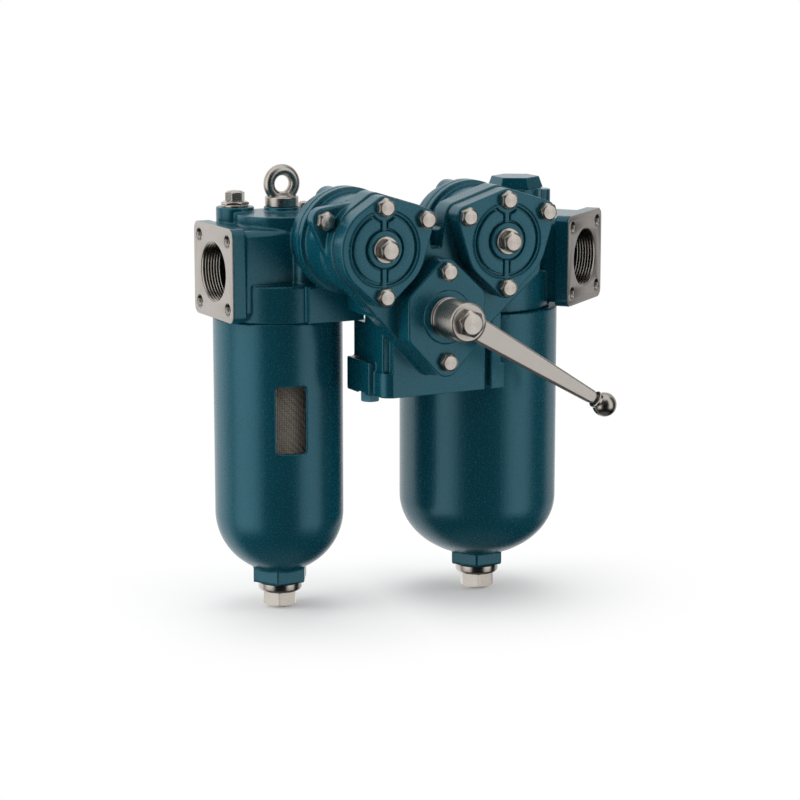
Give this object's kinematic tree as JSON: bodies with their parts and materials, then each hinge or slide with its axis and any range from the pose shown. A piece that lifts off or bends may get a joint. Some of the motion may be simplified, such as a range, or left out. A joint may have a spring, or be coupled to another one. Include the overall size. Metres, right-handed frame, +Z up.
{
  "type": "duplex mesh oil strainer",
  "caption": "Duplex mesh oil strainer: two domed bowls under flanged heads, joined by a change-over valve that one front lever turns.",
  "frame": {"origin": "centre of the base bolt pattern on the underside of the valve body", "axes": "+Z up, +X from the inlet side to the outlet side, -Y to the front, where the lever is"},
  "size_m": [0.405, 0.266, 0.4351],
  "materials": {
    "painted_casting": "deep teal powder coat on cast metal, satin",
    "bright_steel": "turned and brushed stainless steel",
    "polished_steel": "polished stainless steel",
    "bronze": "machined bronze",
    "seal_rubber": "black nitrile rubber",
    "gasket_sheet": "dark compressed gasket sheet",
    "wire_cloth": "woven stainless wire",
    "window_glass": "clear toughened glass"
  },
  "bodies": {
    "strainer": {"left_head": "painted_casting", "right_head": "painted_casting", "valve_body": "painted_casting", "eyebolt": "bright_steel", "vent_body": "bright_steel", "gauge_plug": "bright_steel", "outlet_cap": "painted_casting", "bonnet": "painted_casting", "bonnet_gasket": "gasket_sheet", "bonnet_bolts": "bright_steel", "shaft_bush": "bronze", "shaft_seal": "seal_rubber", "gland_ring": "bright_steel", "drain_screw": "painted_casting", "left_cover": "painted_casting", "left_cover_gasket": "gasket_sheet", "left_cover_bolts": "bright_steel", "left_centre_bolt": "bright_steel", "left_centre_washer": "bright_steel", "left_valve_bush": "bronze", "left_joint_bolts": "bright_steel", "right_cover": "painted_casting", "right_cover_gasket": "gasket_sheet", "right_cover_bolts": "bright_steel", "right_centre_bolt": "bright_steel", "right_centre_washer": "bright_steel", "right_valve_bush": "bronze", "right_joint_bolts": "bright_steel"},
    "lever_set": {"lever": "bright_steel", "lever_ball": "polished_steel", "hub_bolt": "bright_steel", "lever_shaft": "bright_steel", "bell_crank": "bright_steel"},
    "left_valve": {"left_rotor": "bronze", "left_valve_crank": "bright_steel"},
    "left_link_arm": {"left_link": "bright_steel"},
    "left_bowl_set": {"left_bowl": "painted_casting", "left_bowl_seal": "seal_rubber", "left_basket": "bright_steel", "left_mesh_sleeve": "wire_cloth", "left_basket_bail": "bright_steel", "left_drain_washer": "gasket_sheet", "sight_glass": "window_glass"},
    "left_drain": {"left_drain_plug": "bright_steel"},
    "right_valve": {"right_rotor": "bronze", "right_valve_crank": "bright_steel"},
    "right_link_arm": {"right_link": "bright_steel"},
    "right_bowl_set": {"right_bowl": "painted_casting", "right_bowl_seal": "seal_rubber", "right_basket": "bright_steel", "right_mesh_sleeve": "wire_cloth", "right_basket_bail": "bright_steel", "right_drain_washer": "gasket_sheet"},
    "right_drain": {"right_drain_plug": "bright_steel"},
    "vent_needle": {"vent_screw": "bright_steel"}
  },
  "joints": [
    {"name": "lever_turn", "type": "hinge", "parent": "strainer", "child": "lever_set", "pos_m": [0.0105, -0.1, 0.081], "axis": [0, 1, 0], "range_deg": [0, 90]},
    {"name": "left_valve_turn", "type": "hinge", "parent": "strainer", "child": "left_valve", "pos_m": [-0.0548, 0, 0.1485], "axis": [0, 1, 0], "range_deg": [0, 90]},
    {"name": "left_link_swing", "type": "hinge", "parent": "lever_set", "child": "left_link_arm", "pos_m": [0.01014, -0.0346, 0.059], "axis": [0, 1, 0], "range_deg": [-90, 0]},
    {"name": "right_valve_turn", "type": "hinge", "parent": "strainer", "child": "right_valve", "pos_m": [0.0758, 0, 0.1485], "axis": [0, 1, 0], "range_deg": [0, 90]},
    {"name": "right_link_swing", "type": "hinge", "parent": "lever_set", "child": "right_link_arm", "pos_m": [0.0325, -0.0346, 0.08136], "axis": [0, 1, 0], "range_deg": [-90, 0]},
    {"name": "left_bowl_drop", "type": "slide", "parent": "strainer", "child": "left_bowl_set", "axis": [0, 0, -1], "range_m": [0, 0.06]},
    {"name": "left_drain_out", "type": "slide", "parent": "left_bowl_set", "child": "left_drain", "axis": [0, 0, -1], "range_m": [0, 0.02]},
    {"name": "right_bowl_drop", "type": "slide", "parent": "strainer", "child": "right_bowl_set", "axis": [0, 0, -1], "range_m": [0, 0.06]},
    {"name": "right_drain_out", "type": "slide", "parent": "right_bowl_set", "child": "right_drain", "axis": [0, 0, -1], "range_m": [0, 0.02]},
    {"name": "vent_turn", "type": "hinge", "parent": "strainer", "child": "vent_needle", "pos_m": [-0.123, 0.114, 0.18], "axis": [0, 0, 1], "range_deg": [0, 360]}
  ],
  "couplings": [
    {"joint": "left_valve_turn", "follows": "lever_turn", "ratio": 1},
    {"joint": "left_link_swing", "follows": "lever_turn", "ratio": -1},
    {"joint": "right_valve_turn", "follows": "lever_turn", "ratio": 1},
    {"joint": "right_link_swing", "follows": "lever_turn", "ratio": -1}
  ]
}
